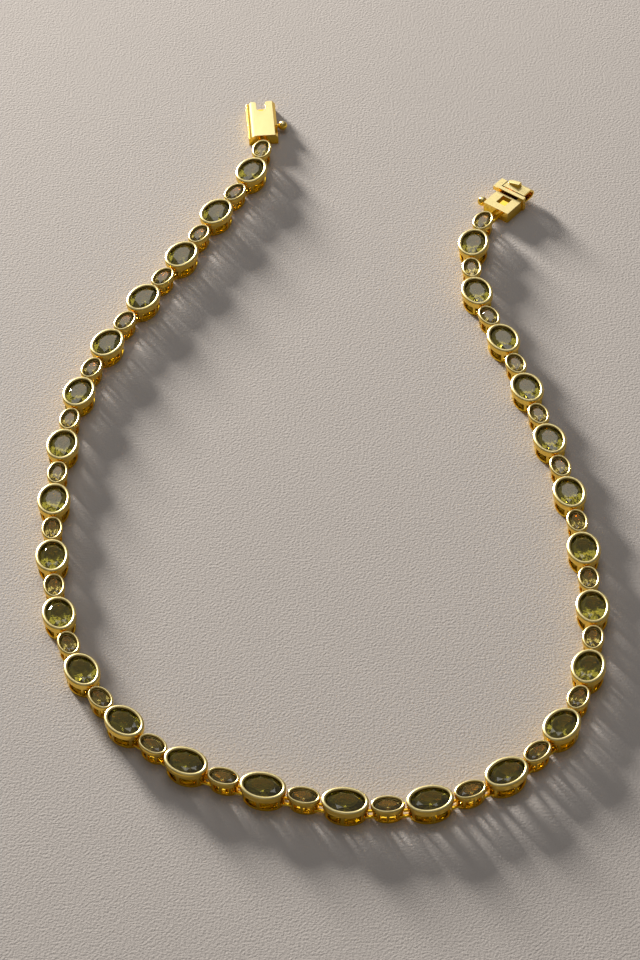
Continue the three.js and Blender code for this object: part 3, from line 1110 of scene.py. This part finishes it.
def gold_material():
    """Gold plate: brushed tops with a painted pale sheen, polished sides, a painted reflection low down,
    painted shade on the band's inner wall, and a fine unevenness.
    """
    finish = properties().gold
    shader = Shader("gold_plate")
    height = shader.along("Z")
    # Painted sheen: tops that point up and lie high are painted paler, as well as made rougher.
    brushed = shader.attribute("brushed").ramp(*BRUSHED_AND_SHEEN_RISE) * height.ramp(*BRUSHED_AND_SHEEN_HEIGHTS)
    cloud = shader.noise(CLOUD_SCALE, detail=3)
    # Painted reflection: low down the gold is painted a deeper, more saturated tone.
    low_tone = shader.mix(height.ramp(*PAINTED_REFLECTION_HEIGHTS), rgba(finish.painted_reflection), rgba(finish.tint))
    painted_sheen_share = brushed * (1 - CLOUD_TONE + CLOUD_TONE * cloud)
    outer_tone = shader.mix(painted_sheen_share, low_tone, rgba(finish.pale))
    # Painted shade: the band's inner wall round the stone is painted dark.
    tone = shader.mix(shader.attribute("inside"), outer_tone, rgba(finish.painted_shade))
    grain = shader.noise(GRAIN_SCALE, roughness=ROUGH_NOISE)
    roughness = finish.polish + (finish.satin - finish.polish) * brushed
    shader.set(
        Base_Color=tone,
        Metallic=1.0,
        Roughness=roughness + GRAIN_SPREAD * (grain - 0.5),
        Normal=shader.bump(grain + CLOUD_BUMP * cloud, GOLD_BUMP, GOLD_BUMP_DEPTH),
    )
    return shader.material


def gold_plate():
    """The gold's material, which is made at its first use."""
    return bpy.data.materials.get("gold_plate") or gold_material()


def stone_material(name, tint):
    """A clear, tinted, faceted stone."""
    finish = properties().stone
    shader = Shader(name)
    shader.set(
        Base_Color=rgba(tint),
        Roughness=0.0,
        IOR=finish.ior,
        Transmission_Weight=finish.clear,
    )
    return shader.material


def floor_material():
    """A pale, matt floor with a fine grain."""
    shader = Shader("floor")
    tint = properties().stage.floor
    pale = tuple(FLOOR_PALE * value for value in tint)
    cloud = shader.noise(FLOOR_CLOUD_SCALE, detail=4, roughness=ROUGH_NOISE)
    grain = shader.noise(FLOOR_GRAIN_SCALE)
    shader.set(
        Base_Color=shader.mix(cloud, rgba(tint), rgba(pale)),
        Roughness=FLOOR_ROUGHNESS,
        Normal=shader.bump(grain, FLOOR_BUMP, FLOOR_BUMP_DEPTH),
    )
    return shader.material


# ------------------------------------------------------------------ operators


class NECKLACE_OT_large_settings(bpy.types.Operator):
    """Adds the settings of the large stones"""

    bl_idname = "necklace.large_settings"
    bl_label = "Large Settings"

    def execute(self, context):
        sizes = properties().large_setting
        model = oval_setting("large_setting", sizes)
        gold = gold_plate()
        for number, place in enumerate(place_links()[1::2], start=1):
            digits = two_digits(number)
            check_place(place, f"stone_{digits}")
            copy_to(model, f"large_setting_{digits}", place, gold, "gold", f"setting_pair_{digits}")
        discard(model)
        return {"FINISHED"}


class NECKLACE_OT_small_settings(bpy.types.Operator):
    """Adds the settings of the small stones, with a wire ring on each side"""

    bl_idname = "necklace.small_settings"
    bl_label = "Small Settings"

    def execute(self, context):
        places = place_links()
        model = small_link("small_setting", ring_beside(1), ring_beside(-1))
        first = small_link("first_setting", ring_beside(1), clasp_ring(first_way() - heading_at(0)))
        last_link = LINK_COUNT - 1
        last = small_link("last_setting", ring_beside(-1), clasp_ring(last_way() - heading_at(last_link)))
        gold = gold_plate()
        for number, place in enumerate(places[0::2]):
            source = {0: first, last_link // 2: last}.get(number, model)
            name = f"small_setting_{two_digits(number)}"
            copy_to(source, name, place, gold, "gold", small_node(number))
        discard(model, first, last)
        return {"FINISHED"}


class NECKLACE_OT_large_stones(bpy.types.Operator):
    """Adds the large stones"""

    bl_idname = "necklace.large_stones"
    bl_label = "Large Stones"

    def execute(self, context):
        sizes = properties()
        model = oval_brilliant("large_stone", sizes.large_stone)
        clear = stone_material("large_stone", sizes.stone.tint)
        for number, place in enumerate(place_links()[1::2], start=1):
            digits = two_digits(number)
            copy_to(model, f"large_stone_{digits}", place, clear, "stone", f"stone_{digits}")
        discard(model)
        return {"FINISHED"}


class NECKLACE_OT_small_stones(bpy.types.Operator):
    """Adds the small stones"""

    bl_idname = "necklace.small_stones"
    bl_label = "Small Stones"

    def execute(self, context):
        sizes = properties()
        model = oval_brilliant("small_stone", sizes.small_stone)
        clear = stone_material("small_stone", sizes.stone.pale_tint)
        for number, place in enumerate(place_links()[0::2]):
            name = f"small_stone_{two_digits(number)}"
            copy_to(model, name, place, clear, "stone", small_node(number))
        discard(model)
        return {"FINISHED"}


class NECKLACE_OT_clasp(bpy.types.Operator):
    """Finishes the clasp's two halves"""

    bl_idname = "necklace.clasp"
    bl_label = "Clasp"

    def execute(self, context):
        sizes = properties()
        places = place_links()
        gold = gold_plate()
        box = clasp_place(places[0], first_way(), math.radians(sizes.clasp_box.heading))
        tongue = clasp_place(places[-1], last_way(), math.radians(sizes.clasp_tongue.heading))
        halves = ((box_half(), "clasp_box", box), (tongue_half(), "clasp_tongue", tongue))
        for model, node, place in halves:
            copy_to(model, f"{node}_half", place, gold, "gold", node)
            discard(model)
        return {"FINISHED"}


class NECKLACE_OT_stage(bpy.types.Operator):
    """Adds the floor, the lights and the camera"""

    bl_idname = "necklace.stage"
    bl_label = "Stage"

    def execute(self, context):
        look = properties().stage
        floor = start_piece("floor", bpy.ops.mesh.primitive_plane_add, size=FLOOR_SIZE, location=(0, 0, 0))
        bpy.ops.object.mode_set(mode="OBJECT")
        floor.data.materials.append(floor_material())
        for light in LIGHTS:
            add_light(watts=getattr(look, light["name"]), **light)
        world = bpy.data.worlds.new("studio")
        world.use_nodes = True
        sky = world.node_tree.nodes["Background"].inputs
        sky["Color"].default_value = rgba(SKY_TINT)
        sky["Strength"].default_value = look.sky
        context.scene.world = world
        context.scene.view_settings.view_transform = "Standard"
        add_camera()
        return {"FINISHED"}


def add_light(name, watts, width, aside, above, distance, tint):
    """A square soft light that faces the middle of the necklace, placed as LIGHTS says."""
    aside, above = math.radians(aside), math.radians(above)
    level = distance * math.cos(above)
    place = Vector((-level * math.sin(aside), level * math.cos(aside), distance * math.sin(above)))
    bpy.ops.object.select_all(action="DESELECT")
    turn = place.to_track_quat("Z", "Y").to_euler()
    bpy.ops.object.light_add(type="AREA", location=place, rotation=turn)
    light = bpy.context.object
    light.name = name
    light.data.name = name
    light.data.energy = watts
    light.data.size = width
    light.data.color = tint


def add_camera():
    """The camera in front of the necklace, a little rolled."""
    tilt, roll = math.radians(CAMERA_TILT), math.radians(CAMERA_ROLL)
    level, up = Vector((1, 0, 0)), Vector((0, math.sin(tilt), math.cos(tilt)))
    right = math.cos(roll) * level + math.sin(roll) * up
    top = math.cos(roll) * up - math.sin(roll) * level
    back = right.cross(top)
    turn = Matrix((right, top, back)).transposed()
    bpy.ops.object.select_all(action="DESELECT")
    bpy.ops.object.camera_add(location=CAMERA_PLACE, rotation=turn.to_euler())
    camera = bpy.context.object
    camera.name = "camera"
    camera.data.lens = CAMERA_LENS
    camera.data.sensor_width = CAMERA_SENSOR
    camera.data.clip_start = CAMERA_NEAR
    bpy.context.scene.camera = camera


# ------------------------------------------------------------------ sidebar and registration


class VIEW3D_PT_necklace(bpy.types.Panel):
    """Lists the pieces of the necklace"""

    bl_idname = "VIEW3D_PT_necklace"
    bl_label = "Tennis Necklace"
    bl_space_type = "VIEW_3D"
    bl_region_type = "UI"
    bl_category = "Necklace"

    def draw(self, context):
        for operator in OPERATORS:
            self.layout.operator(operator.bl_idname)


SIZES = (
    LargeSettingSizes,
    SmallSettingSizes,
    GallerySizes,
    RingSizes,
    ClaspBoxSizes,
    ClaspTongueSizes,
    KnobSizes,
    LargeStoneSizes,
    SmallStoneSizes,
    CutShares,
    GoldFinish,
    StoneFinish,
    StageLook,
    NecklaceProperties,
)
OPERATORS = (
    NECKLACE_OT_large_settings,
    NECKLACE_OT_small_settings,
    NECKLACE_OT_large_stones,
    NECKLACE_OT_small_stones,
    NECKLACE_OT_clasp,
    NECKLACE_OT_stage,
)


def register():
    for each in (*SIZES, *OPERATORS, VIEW3D_PT_necklace):
        bpy.utils.register_class(each)
    bpy.types.Scene.tennis_necklace = PointerProperty(type=NecklaceProperties)


def unregister():
    del bpy.types.Scene.tennis_necklace
    for each in reversed((*SIZES, *OPERATORS, VIEW3D_PT_necklace)):
        bpy.utils.unregister_class(each)


def main():
    register()
    bpy.ops.necklace.large_settings()
    bpy.ops.necklace.small_settings()
    bpy.ops.necklace.large_stones()
    bpy.ops.necklace.small_stones()
    bpy.ops.necklace.clasp()
    bpy.ops.necklace.stage()
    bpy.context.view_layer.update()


if __name__ == "__main__":
    main()
